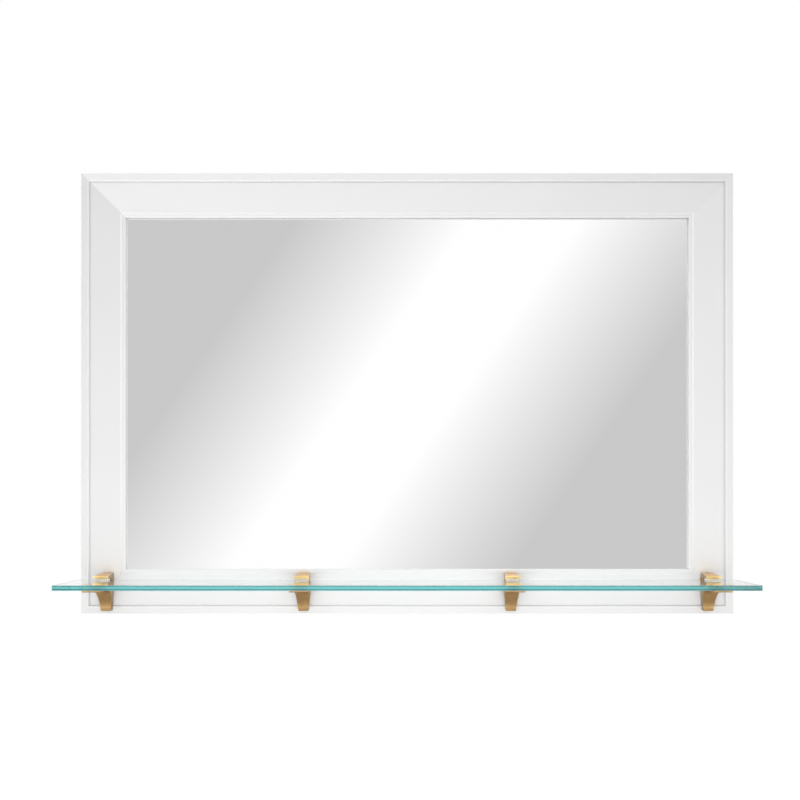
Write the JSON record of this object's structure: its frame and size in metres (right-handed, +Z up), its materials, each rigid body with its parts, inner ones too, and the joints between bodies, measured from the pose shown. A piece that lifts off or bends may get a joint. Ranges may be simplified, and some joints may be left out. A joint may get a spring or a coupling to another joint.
{
  "type": "mirror with shelf",
  "caption": "Wide wall mirror in a white moulded frame, with a clear glass shelf held across its bottom rail in brass clamp brackets.",
  "frame": {"origin": "midway between the round ends of the two hanging keyholes, in the plane of the frame's back", "axes": "+X to the right seen from the front, +Y back into the wall, +Z up"},
  "size_m": [0.94, 0.1292, 0.635],
  "materials": {
    "frame_paint": "semi-gloss white paint",
    "spline_wood": "bare",
    "soft_strip": "closed-cell foam",
    "mirror_glass": "silvered",
    "back_board": "bare fibreboard",
    "zinc_steel": "zinc plated",
    "bumper_rubber": "matt",
    "shelf_glass": "clear with polished green edges",
    "satin_brass": "satin",
    "clear_pad": "translucent"
  },
  "bodies": {
    "root": {"top_rail": "frame_paint", "bottom_rail": "frame_paint", "left_stile": "frame_paint", "right_stile": "frame_paint", "corner_splines": "spline_wood", "mirror_cushions": "soft_strip", "mirror_pane": "mirror_glass", "backing_board": "back_board", "button_screws": "zinc_steel", "hanger_plate_left": "zinc_steel", "hanger_plate_right": "zinc_steel", "hanger_screws": "zinc_steel", "wall_bumpers": "bumper_rubber", "bracket_bolts": "zinc_steel", "bracket_outer_left": "satin_brass", "bracket_inner_left": "satin_brass", "bracket_inner_right": "satin_brass", "bracket_outer_right": "satin_brass", "lower_pad_outer_left": "clear_pad", "lower_pad_inner_left": "clear_pad", "lower_pad_inner_right": "clear_pad", "lower_pad_outer_right": "clear_pad"},
    "shelf": {"glass_shelf": "shelf_glass"},
    "jaw_outer_left": {"upper_jaw_outer_left": "satin_brass", "upper_pad_outer_left": "clear_pad"},
    "screw_outer_left": {"clamp_screw_outer_left": "zinc_steel"},
    "jaw_inner_left": {"upper_jaw_inner_left": "satin_brass", "upper_pad_inner_left": "clear_pad"},
    "screw_inner_left": {"clamp_screw_inner_left": "zinc_steel"},
    "jaw_inner_right": {"upper_jaw_inner_right": "satin_brass", "upper_pad_inner_right": "clear_pad"},
    "screw_inner_right": {"clamp_screw_inner_right": "zinc_steel"},
    "jaw_outer_right": {"upper_jaw_outer_right": "satin_brass", "upper_pad_outer_right": "clear_pad"},
    "screw_outer_right": {"clamp_screw_outer_right": "zinc_steel"},
    "turn_top_left": {"button_top_left": "zinc_steel"},
    "turn_top_right": {"button_top_right": "zinc_steel"},
    "turn_bottom_left": {"button_bottom_left": "zinc_steel"},
    "turn_bottom_right": {"button_bottom_right": "zinc_steel"},
    "turn_left_upper": {"button_left_upper": "zinc_steel"},
    "turn_left_lower": {"button_left_lower": "zinc_steel"},
    "turn_right_upper": {"button_right_upper": "zinc_steel"},
    "turn_right_lower": {"button_right_lower": "zinc_steel"}
  },
  "joints": [
    {"name": "shelf_slide", "type": "slide", "parent": "root", "child": "shelf", "axis": [0, -1, 0], "range_m": [0, 0.06]},
    {"name": "screw_turn_outer_left", "type": "hinge", "parent": "root", "child": "screw_outer_left", "pos_m": [-0.431, -0.0202, -0.5966], "axis": [0, 0, -1], "range_deg": [0, 2160]},
    {"name": "jaw_lift_outer_left", "type": "slide", "parent": "root", "child": "jaw_outer_left", "axis": [0, 0, 1], "range_m": [0, 0.003]},
    {"name": "screw_turn_inner_left", "type": "hinge", "parent": "root", "child": "screw_inner_left", "pos_m": [-0.1485, -0.0202, -0.5966], "axis": [0, 0, -1], "range_deg": [0, 2160]},
    {"name": "jaw_lift_inner_left", "type": "slide", "parent": "root", "child": "jaw_inner_left", "axis": [0, 0, 1], "range_m": [0, 0.003]},
    {"name": "screw_turn_inner_right", "type": "hinge", "parent": "root", "child": "screw_inner_right", "pos_m": [0.1485, -0.0202, -0.5966], "axis": [0, 0, -1], "range_deg": [0, 2160]},
    {"name": "jaw_lift_inner_right", "type": "slide", "parent": "root", "child": "jaw_inner_right", "axis": [0, 0, 1], "range_m": [0, 0.003]},
    {"name": "screw_turn_outer_right", "type": "hinge", "parent": "root", "child": "screw_outer_right", "pos_m": [0.431, -0.0202, -0.5966], "axis": [0, 0, -1], "range_deg": [0, 2160]},
    {"name": "jaw_lift_outer_right", "type": "slide", "parent": "root", "child": "jaw_outer_right", "axis": [0, 0, 1], "range_m": [0, 0.003]},
    {"name": "button_turn_top_left", "type": "hinge", "parent": "root", "child": "turn_top_left", "pos_m": [-0.262, 0.00075, -0.013], "axis": [0, 1, 0], "continuous": true},
    {"name": "button_turn_top_right", "type": "hinge", "parent": "root", "child": "turn_top_right", "pos_m": [0.262, 0.00075, -0.013], "axis": [0, 1, 0], "continuous": true},
    {"name": "button_turn_bottom_left", "type": "hinge", "parent": "root", "child": "turn_bottom_left", "pos_m": [-0.262, 0.00075, -0.556], "axis": [0, 1, 0], "continuous": true},
    {"name": "button_turn_bottom_right", "type": "hinge", "parent": "root", "child": "turn_bottom_right", "pos_m": [0.262, 0.00075, -0.556], "axis": [0, 1, 0], "continuous": true},
    {"name": "button_turn_left_upper", "type": "hinge", "parent": "root", "child": "turn_left_upper", "pos_m": [-0.424, 0.00075, -0.1645], "axis": [0, 1, 0], "continuous": true},
    {"name": "button_turn_left_lower", "type": "hinge", "parent": "root", "child": "turn_left_lower", "pos_m": [-0.424, 0.00075, -0.4045], "axis": [0, 1, 0], "continuous": true},
    {"name": "button_turn_right_upper", "type": "hinge", "parent": "root", "child": "turn_right_upper", "pos_m": [0.424, 0.00075, -0.1645], "axis": [0, 1, 0], "continuous": true},
    {"name": "button_turn_right_lower", "type": "hinge", "parent": "root", "child": "turn_right_lower", "pos_m": [0.424, 0.00075, -0.4045], "axis": [0, 1, 0], "continuous": true}
  ],
  "couplings": [
    {"joint": "screw_turn_outer_left", "follows": "jaw_lift_outer_left", "rad_per_m": 12566},
    {"joint": "screw_turn_inner_left", "follows": "jaw_lift_inner_left", "rad_per_m": 12566},
    {"joint": "screw_turn_inner_right", "follows": "jaw_lift_inner_right", "rad_per_m": 12566},
    {"joint": "screw_turn_outer_right", "follows": "jaw_lift_outer_right", "rad_per_m": 12566}
  ]
}
